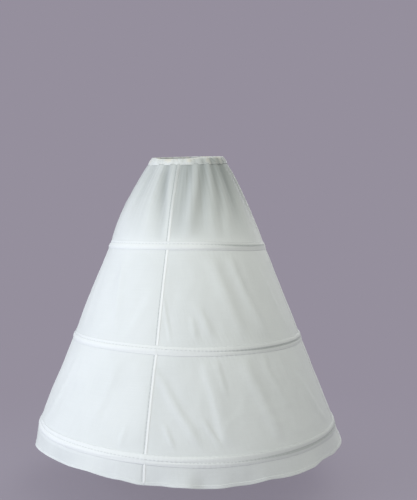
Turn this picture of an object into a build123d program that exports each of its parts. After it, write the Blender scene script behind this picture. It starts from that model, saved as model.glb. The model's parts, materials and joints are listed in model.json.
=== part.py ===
from build123d import *

import os
from math import atan2, cos, degrees, radians, sin

# A hooped petticoat on a standing wearer, in millimetres. The origin is the middle of the waist at
# the band's top edge, +Z is up, the wearer faces -Y and the wearer's left side is +X.

# Cloth, as modelled: one layer of the panels, the band and the casing tape
panel_cloth = 1.0
band_cloth = 0.8
tape_cloth = 0.7

# Waistband: inside size at its top edge, height, and how far each side flares to its lower edge
waist_width = 228.0
waist_depth = 178.0
band_height = 22.0
band_flare = 14.0
pucker_height = 1.8
pucker_count = 28
pucker_height_shares = (1.0, 0.65, 0.9, 0.5, 0.8, 0.6, 1.0, 0.4)

# The waist's tilt in degrees: lower in front than behind, fading out down to the upper casing
waist_tilt = 6.0

# Elastic loop in the band's tunnel
elastic_width = 12.0
elastic_thickness = 1.2
elastic_clearance = 0.3

# Skirt: drop of each hoop line and of the hem below the waist, and the cloth's outside radius at the
# upper and lower hoops and at the hem. The cloth runs straight from the upper to the lower hoop.
upper_hoop_drop = 288.0
upper_skirt_radius = 253.0
middle_hoop_drop = 575.0
lower_hoop_drop = 850.0
lower_skirt_radius = 478.5
hem_drop = 913.0
hem_radius = 493.0

# Gathers between the band and the upper casing: their depth, and how far the hips spring outwards
gather_depth = 6.0
hip_spring = 11.0
gather_station_shares = (0.0, 0.2, 0.45, 0.72)
gather_depth_shares = (0.55, 1.0, 0.85, 0.5)

# The free hem below the lower casing: how far it waves outwards, and how far it dips below its drop
hem_wave_depth = 7.0
hem_dip = 15.0

# Seams: allowance left standing inside each panel's two edges
seam_allowance = 9.0

# Hoops: flat bones in tape casings, each joined by a sleeve at the back
bone_width = 5.0
bone_thickness = 1.0
bone_end_gap = 2.0
sleeve_wall = 0.4
sleeve_clearance = 0.1
sleeve_length = 32.0
casing_width = 25.0
seat_gap = 0.2
sleeve_angle = 97.0

quarter_turn = 90.0
full_turn = 360.0

# Each panel: the angle where it starts, and its folds as (place, gather, hem wave, hem dip) shares
panels = {
    "front_left_panel": (
        -90.0,
        ((0.0, 0.0, 0.3, 0.2), (0.06, 0.6, 0.5, 0.3), (0.12, -0.6, 0.7, 0.5), (0.27, 0.9, 0.2, 0.9),
         (0.34, -0.7, -0.4, 0.8), (0.46, 0.8, 0.1, 0.6), (0.58, -0.8, 0.8, 0.8), (0.68, 0.9, 1.0, 0.7),
         (0.77, -0.8, 0.1, 0.2), (0.9, 0.6, 0.5, 0.6), (1.0, 0.0, 1.5, 0.4)),
    ),
    "back_left_panel": (
        0.0,
        ((0.0, 0.0, 1.5, 0.4), (0.12, -0.6, 1.5, 0.2), (0.24, 0.8, 0.4, 0.3), (0.37, -0.9, 0.5, 0.3),
         (0.51, 1.0, -0.2, 0.2), (0.62, -0.4, -0.8, 0.1), (0.74, 0.6, 0.1, 0.1), (0.88, -0.8, 0.6, 0.0),
         (1.0, 0.0, 0.0, 0.0)),
    ),
    "back_right_panel": (
        90.0,
        ((0.0, 0.0, 0.0, 0.0), (0.13, 0.8, 0.5, 0.0), (0.26, -0.9, 0.6, 0.0), (0.36, 0.5, -0.5, 0.0),
         (0.49, -0.6, -0.9, 0.0), (0.61, 0.9, 0.8, 0.0), (0.76, -0.7, 0.2, -0.1), (0.87, 0.8, -0.5, -0.2),
         (1.0, 0.0, 0.0, -0.3)),
    ),
    "front_right_panel": (
        180.0,
        ((0.0, 0.0, 0.0, -0.3), (0.11, -0.5, -0.6, -0.5), (0.25, 1.0, -1.1, -0.6), (0.39, -0.8, 0.6, -0.6),
         (0.5, 0.6, 0.1, -0.7), (0.63, -0.7, -0.5, -0.7), (0.77, 0.9, 0.4, -0.7), (0.9, -0.5, 0.1, -0.2),
         (1.0, 0.0, 0.3, 0.2)),
    ),
}

# Sizes that follow from the ones above
tunnel_thickness = elastic_thickness + 2 * elastic_clearance
tunnel_height = elastic_width + 2 * elastic_clearance
band_thickness = 2 * band_cloth + tunnel_thickness
half_casing = casing_width / 2
bone_seat = seat_gap + sleeve_wall + sleeve_clearance
sleeve_half_width = bone_width / 2 + sleeve_clearance + sleeve_wall
sleeve_top = bone_seat + bone_thickness + sleeve_clearance + sleeve_wall
tent_rise = (sleeve_top + seat_gap) / (1 - sleeve_half_width / half_casing)

# Hoop lines as (radius, height) points on the straight slant of the cloth
upper_line = Vector(upper_skirt_radius, -upper_hoop_drop)
lower_line = Vector(lower_skirt_radius, -lower_hoop_drop)
middle_share = (middle_hoop_drop - upper_hoop_drop) / (lower_hoop_drop - upper_hoop_drop)
hoop_lines = {
    "upper": upper_line,
    "middle": upper_line + (lower_line - upper_line) * middle_share,
    "lower": lower_line,
}
slant = (lower_line - upper_line).normalized()
normal = Vector(-slant.Y, slant.X)
slant_turn = degrees(atan2(slant.Y, slant.X))
gather_end = upper_line - slant * half_casing
flounce_start = lower_line + slant * half_casing

os.makedirs("parts", exist_ok=True)


def finish(part, name):
    """Labels a finished piece and writes it to its own file."""
    part.label = name
    export_step(part, f"parts/{name}.step")


def oval(half_width, half_depth, angle):
    """Point of the waist's oval at an angle in degrees."""
    return Vector(half_width * cos(radians(angle)), half_depth * sin(radians(angle)))


def spoke(angle):
    """Unit vector that points outwards at an angle in degrees."""
    return Vector(cos(radians(angle)), sin(radians(angle)))


def radial_plane(angle):
    """Upright plane through the Z axis, with its local X pointing outwards at an angle in degrees."""
    return Plane(origin=(0, 0, 0), x_dir=spoke(angle), z_dir=spoke(angle - quarter_turn))


def facet(*corners):
    """A flat face with these corners."""
    return Face(Wire.make_polygon(corners))


def sheet_end(outline):
    """Facets across a sheet's cut end, between the two long sides of its outline."""
    facets = []
    for point in range(len(outline) // 2 - 1):
        near, next_near = outline[point - 1], outline[point]
        far, next_far = outline[-2 - point], outline[-3 - point]
        facets += [facet(near, next_near, next_far), facet(near, next_far, far)]
    return facets


def creased_solid(outlines, ends):
    """A solid of flat facets over matching outlines, the cloth creased along every line between them.

    The second half of an outline runs back beside the first, so its facets are split along the other
    diagonal, which keeps a sheet's two faces parallel. The ends are the faces that close it.
    """
    facets = list(ends)
    for upper, lower in zip(outlines, outlines[1:]):
        for point in range(len(upper)):
            above, below = upper[point - 1], lower[point - 1]
            next_above, next_below = upper[point], lower[point]
            if point < len(upper) / 2:
                facets += [facet(above, below, next_below), facet(above, next_below, next_above)]
            else:
                facets += [facet(above, below, next_above), facet(below, next_below, next_above)]
    return Solid(Shell(facets))


def panel_outline(height, start, half_width, half_depth, folds):
    """A panel's outline at a height: two facets from fold to fold, and a seam allowance at each end.

    The folds are (place share, offset from the oval, dip below the height).
    """
    end = start + quarter_turn
    step_start, step_end = spoke(start + quarter_turn) * panel_cloth, spoke(end - quarter_turn) * panel_cloth
    outer, inner = [], []
    for fold, next_fold in zip(folds, folds[1:] + folds[-1:]):
        halfway = [(value + next_value) / 2 for value, next_value in zip(fold, next_fold)]
        for place, offset, dip in (fold, halfway):
            angle = start + quarter_turn * place
            level = Vector(0, 0, height - dip)
            point = level + oval(half_width, half_depth, angle) + spoke(angle) * offset
            outer.append(point)
            inner.append(point - spoke(angle) * panel_cloth)
    outer.pop()
    inner.pop()
    tip_start = inner[0] - spoke(start) * seam_allowance
    tip_end = inner[-1] - spoke(end) * seam_allowance
    inner[0] += step_start
    inner[-1] += step_end
    inner.reverse()
    return outer + [tip_end, tip_end + step_end] + inner + [tip_start + step_start, tip_start]


# Four gored panels, gathered at the waist, held round by the hoops and free at the hem
panel_top_width = waist_width / 2 + band_flare + band_thickness / 2
panel_top_depth = waist_depth / 2 + band_flare + band_thickness / 2
gather_height = -gather_end.Y - band_height

for name, (start, folds) in panels.items():
    outlines = []
    for station, depth_share in zip(gather_station_shares, gather_depth_shares):
        spring = hip_spring * 4 * station * (1 - station)
        gathered = panel_outline(
            -band_height - gather_height * station,
            start,
            panel_top_width + (gather_end.X - panel_top_width) * station + spring,
            panel_top_depth + (gather_end.X - panel_top_depth) * station + spring,
            [(place, gather_depth * depth_share * gather, 0) for place, gather, wave, dip in folds],
        )
        outlines.append([point.rotate(Axis.X, waist_tilt * (1 - station) ** 2) for point in gathered])
    unfolded = [(place, 0, 0) for place, gather, wave, dip in folds]
    for line in (gather_end, flounce_start):
        outlines.append(panel_outline(line.Y, start, line.X, line.X, unfolded))
    hem = [(place, hem_wave_depth * wave, hem_dip * dip) for place, gather, wave, dip in folds]
    outlines.append(panel_outline(-hem_drop, start, hem_radius, hem_radius, hem))
    with BuildPart() as panel:
        add(creased_solid(outlines, [facet(*outlines[0])] + sheet_end(outlines[-1])))
    finish(panel.part, name)


def flare_at(height):
    """How far the band stands out at a height, from its flare over its whole height."""
    return band_flare * -height / band_height


def band_oval(height, offset):
    """A plain level oval at an offset from the elastic's middle line."""
    reach = band_thickness / 2 + flare_at(height) + offset
    with BuildSketch(Plane.XY.offset(height)) as outline:
        Ellipse(waist_width / 2 + reach, waist_depth / 2 + reach)
    return outline.sketch


def puckered_outline(height, offset, side):
    """A level outline with a hollow at the offset and a crest beyond it, outwards or inwards, per pucker."""
    points = []
    for pucker in range(pucker_count):
        crest = pucker_height * pucker_height_shares[pucker % len(pucker_height_shares)]
        for half_share, rise in ((0, 0), (0.5, crest)):
            angle = full_turn * (pucker + half_share) / pucker_count
            reach = band_thickness / 2 + flare_at(height) + side * (offset + rise)
            level = Vector(0, 0, height)
            points.append(level + oval(waist_width / 2 + reach, waist_depth / 2 + reach, angle))
    return points


def puckered_ring(top, bottom, offset):
    """A flared ring between two heights, creased outwards and inwards from an offset each way."""
    with BuildPart() as ring:
        for side, mode in ((1, Mode.ADD), (-1, Mode.SUBTRACT)):
            outlines = [puckered_outline(height, offset, side) for height in (top, bottom)]
            add(creased_solid(outlines, [facet(*outline) for outline in outlines]), mode=mode)
    return ring.part


# Waistband: folded cloth that the elastic in its closed tunnel puckers on both sides
tunnel_top = -(band_height - tunnel_height) / 2
tunnel_bottom = tunnel_top - tunnel_height
with BuildPart() as waistband:
    add(puckered_ring(0, -band_height, band_thickness / 2))
    add(puckered_ring(tunnel_top, tunnel_bottom, tunnel_thickness / 2), mode=Mode.SUBTRACT)
finish(waistband.part.rotate(Axis.X, waist_tilt), "waistband")

# Elastic: a smooth loop with play all round
elastic_heights = (tunnel_top - elastic_clearance, tunnel_bottom + elastic_clearance)
with BuildPart() as waist_elastic:
    for offset, mode in ((elastic_thickness / 2, Mode.ADD), (-elastic_thickness / 2, Mode.SUBTRACT)):
        loft([band_oval(height, offset) for height in elastic_heights], ruled=True, mode=mode)
finish(waist_elastic.part.rotate(Axis.X, waist_tilt), "waist_elastic")

for name, line in hoop_lines.items():
    # Casing: a tape that is pressed flat along its stitched edges and tents over the bone
    upper_edge = line - slant * half_casing + normal * seat_gap
    lower_edge = line + slant * half_casing + normal * seat_gap
    ridge = line + normal * (seat_gap + tent_rise)
    with BuildPart() as casing:
        with BuildSketch(Plane.XZ):
            with BuildLine():
                Polyline(upper_edge, ridge, lower_edge, ridge + normal * tape_cloth, close=True)
            make_face()
        revolve(axis=Axis.Z)
    finish(casing.part, f"{name}_hoop_casing")

    # Bone: a flat strip bent to an open ring, lying along the skirt's slant
    bone_middle = line + normal * (bone_seat + bone_thickness / 2)
    gap_turn = degrees(bone_end_gap / bone_middle.X)
    with BuildPart() as bone:
        with BuildSketch(radial_plane(sleeve_angle + gap_turn / 2)):
            with Locations((bone_middle.X, bone_middle.Y)):
                Rectangle(bone_width, bone_thickness, rotation=slant_turn)
        revolve(axis=Axis.Z, revolution_arc=full_turn - gap_turn)
    finish(bone.part, f"{name}_hoop")

    # Connector: a flat sleeve over the bone's two ends
    sleeve_turn = degrees(sleeve_length / bone_middle.X)
    clear_width, clear_height = bone_width + 2 * sleeve_clearance, bone_thickness + 2 * sleeve_clearance
    with BuildPart() as connector:
        with BuildSketch(radial_plane(sleeve_angle - sleeve_turn / 2)):
            with Locations((bone_middle.X, bone_middle.Y)):
                Rectangle(clear_width + 2 * sleeve_wall, clear_height + 2 * sleeve_wall, rotation=slant_turn)
                Rectangle(clear_width, clear_height, rotation=slant_turn, mode=Mode.SUBTRACT)
        revolve(axis=Axis.Z, revolution_arc=sleeve_turn)
    finish(connector.part, f"{name}_hoop_connector")
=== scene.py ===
"""Dresses a three-hoop petticoat: cloth panels, a gathered waistband, hoop casings, seams and stitching.

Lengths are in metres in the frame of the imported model, except where millimetres are named. The origin is the
middle of the waist, +Z is up and the wearer faces -Y. Angles are in degrees round the upright axis, with the
wearer's left side at 0 and the front at -90.
"""

from __future__ import annotations

import json
import logging
import math
from collections.abc import Callable, Iterable
from dataclasses import dataclass, field
from enum import Enum
from functools import cached_property

import bmesh
import bpy
from mathutils import Matrix, Vector, noise

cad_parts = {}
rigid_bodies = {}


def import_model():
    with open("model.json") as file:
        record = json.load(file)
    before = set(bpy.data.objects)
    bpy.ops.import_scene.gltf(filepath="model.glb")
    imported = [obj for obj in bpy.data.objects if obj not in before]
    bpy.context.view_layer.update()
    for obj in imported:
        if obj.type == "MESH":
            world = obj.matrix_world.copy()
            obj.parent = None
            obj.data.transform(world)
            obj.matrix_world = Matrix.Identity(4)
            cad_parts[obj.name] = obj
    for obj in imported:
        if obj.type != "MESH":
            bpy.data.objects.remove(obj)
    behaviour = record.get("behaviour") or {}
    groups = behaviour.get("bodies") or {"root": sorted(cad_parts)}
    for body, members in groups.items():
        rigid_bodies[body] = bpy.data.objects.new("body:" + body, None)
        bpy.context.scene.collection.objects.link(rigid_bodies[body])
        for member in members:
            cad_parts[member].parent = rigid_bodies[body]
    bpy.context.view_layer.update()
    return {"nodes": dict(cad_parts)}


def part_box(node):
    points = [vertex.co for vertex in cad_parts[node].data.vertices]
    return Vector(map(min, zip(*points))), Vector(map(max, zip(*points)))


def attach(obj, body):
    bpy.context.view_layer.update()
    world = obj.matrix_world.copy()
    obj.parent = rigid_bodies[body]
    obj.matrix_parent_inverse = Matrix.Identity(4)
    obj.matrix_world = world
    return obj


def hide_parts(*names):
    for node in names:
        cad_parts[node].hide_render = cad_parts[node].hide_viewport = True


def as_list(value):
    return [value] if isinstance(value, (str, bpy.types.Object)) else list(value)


LOG = logging.getLogger("petticoat")
MM = 0.001
BODY = "root"
# Name of the vertex attribute that holds each place's share of painted shade
PAINTED_SHADE_SHARE = "painted_shade_share"
FRONT = -90.0
HOOPS = ("upper", "middle", "lower")
SEAMS = (("front", FRONT), ("left", 0.0), ("back", 90.0), ("right", 180.0))
Colour = tuple[float, float, float, float]
Knots = tuple[tuple[float, float], ...]
Spot = tuple[Vector, tuple[float, float]]


class Slot(Enum):
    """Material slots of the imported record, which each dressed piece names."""

    PANEL = "panel_cloth"
    BAND = "band_cloth"
    TAPE = "casing_tape"


class Held(Enum):
    """How a sheet of cloth is held."""

    GATHERED = "gathered"
    HUNG = "hung"
    STRETCHED = "stretched"
    FOLDED = "folded"


def smooth_step(low: float, high: float, value: float) -> float:
    """Rises smoothly from 0 at low to 1 at high."""
    share = min(1.0, max(0.0, (value - low) / (high - low)))
    return share * share * (3 - 2 * share)


def bell(offset: float, reach: float) -> float:
    """1 at no offset, falling to about a third at the reach and on to 0."""
    return math.exp(-((offset / reach) ** 2))


def turn_from(middle: float, angle: float) -> float:
    """How far an angle is turned from a middle one, from -180 to 180 degrees."""
    return (angle - middle + 180) % 360 - 180


def ring_curve(knots: Knots, angle: float) -> float:
    """Reads a smooth closed curve round the skirt.

    Args:
        knots: (angle, height) pairs in rising order of angle, over one turn.
        angle: where to read, in degrees.

    Returns:
        The height there, with every knot a level crest or hollow.
    """
    first = knots[0][0]
    turned = first + (angle - first) % 360
    last = (first + 360, knots[0][1])
    for (start, low), (end, high) in zip(knots, knots[1:] + (last,)):
        if turned <= end:
            return low + (high - low) * smooth_step(start, end, turned)
    return last[1]


def ring_noise(angle: float, rate: float, height: float) -> float:
    """Soft noise that closes on itself round the skirt.

    Args:
        angle: where to read, in degrees.
        rate: noise cells for each radian.
        height: where to read along the other axis, in noise cells.

    Returns:
        A number from about -1 to 1.
    """
    turn = math.radians(angle)
    return noise.noise(Vector((rate * math.cos(turn), rate * math.sin(turn), height)))


def line_curve(knots: Knots, place: float) -> float:
    """Reads a broken line through (place, value) knots, level beyond its ends."""
    if place <= knots[0][0]:
        return knots[0][1]
    for (start, low), (end, high) in zip(knots, knots[1:]):
        if place <= end:
            return low + (high - low) * (place - start) / (end - start)
    return knots[-1][1]


@dataclass(frozen=True)
class DragFold:
    """A soft slanting crease or hollow in the cloth.

    Attributes:
        path: (drop in metres, angle in degrees) pairs from its upper to its lower end.
        height: how far its crest stands out, in metres, below zero for a hollow.
        width: half its width, in metres.
        lean: 1 or -1, the steep side, where a shallow counter fold runs beside the crest.
        spread: how many times wider the gentle side is.
        end_fade: how bluntly it runs out at its ends, below 1 for a blunter end.
        counter: the counter fold's share of the height.
        counter_place: the counter fold's distance from the crest, in widths.
        reach: how far from the crest it is still felt, in widths.
    """

    path: Knots
    height: float
    width: float
    lean: float
    spread: float
    end_fade: float = 0.7
    counter: float = 0.12
    counter_place: float = 2.0
    reach: float = 6.0

    def rise(self, angle: float, drop: float, radius: float) -> float:
        """How far the fold lifts the cloth.

        Args:
            angle: angle round the skirt, in degrees.
            drop: distance below the waist.
            radius: the cloth's radius there.

        Returns:
            The lift, below zero where it dents the cloth.
        """
        top, bottom = self.path[0][0], self.path[-1][0]
        if not top < drop < bottom:
            return 0.0
        turn = turn_from(line_curve(self.path, drop), angle)
        run = math.radians(self.path[-1][1] - self.path[0][1]) * radius / (bottom - top)
        across = math.radians(turn) * radius / (self.width * math.hypot(1, run))
        if abs(across) > self.reach:
            return 0.0
        share = (drop - top) / (bottom - top)
        fade = math.sin(math.pi * share) ** self.end_fade
        side = across * self.lean
        crest = bell(side, 1 if side > 0 else self.spread) - self.counter * bell(side - self.counter_place, 1)
        return self.height * fade * crest


def fold(
    height: float, width: float, lean: float, *path: tuple[float, float], spread: float = 1.3
) -> DragFold:
    """A drag fold from sizes in millimetres and (angle, drop in metres) points."""
    return DragFold(tuple((drop, angle) for angle, drop in path), height * MM, width * MM, lean, spread)


# The hollow that runs down the yoke beside the front seam
SEAM_HOLLOW = fold(
    -2.8, 11, 1,
    (-103.0, 0.035), (-102.2, 0.06), (-99.8, 0.10), (-98.2, 0.127), (-96.9, 0.15), (-95.8, 0.177),
    (-95.2, 0.20), (-95.2, 0.225), (-95.2, 0.285),
)

# Every crease and hollow: first the seen side's, then those of the sides and the back
DRAG_FOLDS = (
    SEAM_HOLLOW,
    fold(3.0, 26, 1, (-90.5, 0.30), (-90.5, 0.43), (-90.5, 0.56), spread=2.2),
    fold(3.2, 26, 1, (-90.5, 0.585), (-90.5, 0.72), (-90.5, 0.845), spread=2.2),
    fold(3.0, 13, 1, (-64.5, 0.03), (-71.0, 0.146), (-74.5, 0.27), spread=2.0),
    fold(
        4.8, 21, 1,
        (-61.5, 0.285), (-59.0, 0.33), (-57.5, 0.37), (-55.0, 0.41), (-52.6, 0.45), (-51.2, 0.49),
        (-47.0, 0.56),
    ),
    fold(
        4.2, 12, 1,
        (-47.5, 0.285), (-44.5, 0.37), (-42.5, 0.41), (-39.5, 0.45), (-37.2, 0.49), (-33.0, 0.57), spread=1.6,
    ),
    fold(2.6, 11, 1, (-70.0, 0.45), (-67.5, 0.49), (-65.0, 0.53), (-61.5, 0.566)),
    fold(1.8, 8, 1, (-73.5, 0.48), (-72.0, 0.53), (-71.0, 0.57)),
    fold(1.3, 4.5, 1, (-88.6, 0.42), (-86.2, 0.48), (-83.9, 0.53), (-82.5, 0.57)),
    fold(2.6, 14, -1, (-123.4, 0.29), (-116.6, 0.445), (-112.0, 0.55)),
    fold(2.4, 13, -1, (-95.0, 0.41), (-100.8, 0.497), (-107.0, 0.56)),
    fold(
        3.4, 10, 1,
        (-90.0, 0.62), (-86.0, 0.65), (-82.5, 0.69), (-79.0, 0.73), (-75.0, 0.77), (-72.4, 0.81),
        (-69.5, 0.85),
    ),
    fold(
        4.4, 13, -1,
        (-68.2, 0.59), (-67.0, 0.65), (-65.5, 0.69), (-64.0, 0.75), (-62.8, 0.81), (-61.2, 0.86), spread=2.4,
    ),
    fold(2.0, 8, 1, (-63.6, 0.58), (-62.6, 0.62), (-60.5, 0.70)),
    fold(
        4.4, 17, 1,
        (-51.0, 0.58), (-48.5, 0.65), (-46.5, 0.69), (-44.8, 0.73), (-42.4, 0.78), (-40.5, 0.85),
    ),
    fold(2.4, 11, 1, (-40.6, 0.58), (-39.0, 0.65), (-36.4, 0.69), (-33.0, 0.75)),
    fold(1.8, 10, 1, (-31.0, 0.60), (-29.0, 0.66), (-26.5, 0.73)),
    fold(2.2, 13, 1, (-105.6, 0.585), (-109.1, 0.718), (-114.0, 0.82)),
    fold(2.6, 13, 1, (-22.5, 0.66), (-15.0, 0.765), (-9.0, 0.845)),
    fold(2.4, 5.5, 1, (-84.0, 0.76), (-82.2, 0.79), (-80.2, 0.82), (-77.6, 0.86)),
    fold(2.6, 6, 1, (-70.5, 0.745), (-67.2, 0.788), (-63.8, 0.832), (-62.2, 0.862)),
    fold(1.8, 6.5, -1, (-97.5, 0.77), (-98.6, 0.81), (-99.4, 0.85)),
    fold(2.6, 14, 1, (-134.0, 0.60), (-139.0, 0.72), (-144.5, 0.83)),
    fold(2.4, 13, -1, (-149.0, 0.31), (-146.0, 0.44), (-142.0, 0.56)),
    fold(2.8, 14, 1, (-28.0, 0.30), (-21.0, 0.43), (-14.0, 0.56)),
    fold(2.6, 13, -1, (12.0, 0.30), (18.0, 0.42), (21.0, 0.55)),
    fold(3.0, 14, 1, (30.0, 0.60), (38.0, 0.72), (43.0, 0.84)),
    fold(2.8, 13, -1, (52.0, 0.31), (47.0, 0.44), (44.0, 0.56)),
    fold(3.2, 13, 1, (68.0, 0.60), (61.0, 0.70), (57.0, 0.83)),
    fold(2.6, 12, 1, (80.0, 0.33), (76.0, 0.45), (74.0, 0.55)),
    fold(3.4, 13, -1, (92.0, 0.63), (101.0, 0.73), (108.0, 0.835)),
    fold(2.6, 13, 1, (108.0, 0.30), (113.0, 0.43), (120.0, 0.56)),
    fold(3.0, 14, -1, (126.0, 0.60), (131.0, 0.71), (139.0, 0.84)),
    fold(2.6, 13, 1, (141.0, 0.32), (136.0, 0.45), (133.0, 0.56)),
    fold(2.8, 14, 1, (158.0, 0.60), (152.0, 0.73), (149.0, 0.84)),
    fold(2.8, 13, -1, (168.0, 0.30), (173.0, 0.42), (175.0, 0.56)),
    fold(3.0, 13, 1, (188.0, 0.62), (193.0, 0.73), (201.0, 0.84)),
    fold(2.4, 13, -1, (194.0, 0.31), (199.0, 0.44), (202.0, 0.55)),
)

# Crests and hollows of the yoke's gathers by angle, as shares of their depth
GATHERS: Knots = (
    (-108.0, 0.8), (-98.0, -1.0), (-92.0, 0.6), (-83.0, -0.7), (-76.0, 0.9), (-66.0, -1.0), (-57.0, 0.6),
    (-49.0, -0.6), (-43.0, 0.4), (-34.0, -0.9), (-21.0, 0.7), (-8.0, -0.5), (4.0, 0.4), (17.0, -0.7),
    (31.0, 0.9), (45.9, -0.9), (55.8, 0.5), (66.6, -0.7), (78.0, 0.8), (86.0, -0.5), (101.7, 0.8),
    (113.4, -0.9), (122.4, 0.5), (134.1, -0.7), (144.9, 0.9), (158.4, -0.8), (168.3, 0.8), (178.0, -0.5),
    (189.9, 0.6), (204.0, -0.7), (223.0, 0.4), (238.0, -0.5),
)

# How far the hem swings out and in by angle, as shares of the waves' depth
HEM_WAVES: Knots = (
    (-92.0, 0.0), (-86.5, -0.7), (-75.6, 1.1), (-70.4, -0.4), (-65.7, 0.2), (-59.4, -0.4), (-48.6, 0.1),
    (-37.8, 0.8), (-28.8, 1.0), (-20.7, 0.1), (-9.0, 0.5), (0.0, 1.5), (10.8, 1.5), (21.6, 0.4), (33.3, 0.5),
    (45.9, -0.2), (55.8, -0.8), (66.6, 0.1), (79.2, 0.6), (90.0, 0.0), (101.7, 0.5), (113.4, 0.6),
    (122.4, -0.5), (134.1, -0.9), (144.9, 0.8), (158.4, 0.2), (168.3, -0.5), (180.0, 0.0), (189.9, -0.6),
    (202.5, -1.1), (215.1, 0.6), (225.0, 0.1), (236.7, -0.5), (249.3, 0.4), (261.0, 0.1),
)

# How far the hem hangs lower by angle, as shares of the dip
HEM_DIPS: Knots = (
    (-90.0, 0.2), (-84.6, 0.3), (-79.2, 0.5), (-65.7, 0.9), (-59.4, 0.8), (-48.6, 0.6), (-37.8, 0.8),
    (-28.8, 0.7), (-20.7, 0.2), (-9.0, 0.6), (0.0, 0.4), (10.8, 0.2), (21.6, 0.3), (45.9, 0.2), (90.0, 0.0),
    (144.9, 0.0), (180.0, -0.3), (202.5, -0.6), (215.1, -0.6), (225.0, -0.7), (249.3, -0.7), (261.0, -0.2),
)


@dataclass(frozen=True)
class WaistPuckers:
    """The small pleats that the elastic draws in the waistband.

    Attributes:
        widths: widths in degrees, in turn, fitted to whole rounds.
        shares: fullness of each, in turn.
        bluntness: how blunt their crests are, below 1 for blunter ones.
    """

    widths: tuple[float, ...] = (13.4, 11.2, 14.6, 12.0, 10.6, 13.8, 12.4, 15.2, 11.6, 12.8, 14.0, 10.8, 13.0)
    shares: tuple[float, ...] = (1.0, 0.65, 0.9, 0.5, 0.8, 0.6, 1.0, 0.45, 0.85, 0.7)
    bluntness: float = 0.8

    @cached_property
    def fitted(self) -> tuple[float, ...]:
        """The widths, scaled so that whole rounds of them close the band."""
        total = sum(self.widths)
        scale = 360 / (round(360 / total) * total)
        return tuple(width * scale for width in self.widths)

    def rise(self, angle: float) -> float:
        """How full the nearest pucker is at an angle, from 0 in a pinch to 1 at the fullest crest."""
        place, index = angle % 360, 0
        while place > self.fitted[index % len(self.fitted)]:
            place -= self.fitted[index % len(self.fitted)]
            index += 1
        share = place / self.fitted[index % len(self.fitted)]
        return self.shares[index % len(self.shares)] * math.sin(math.pi * share) ** self.bluntness


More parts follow.
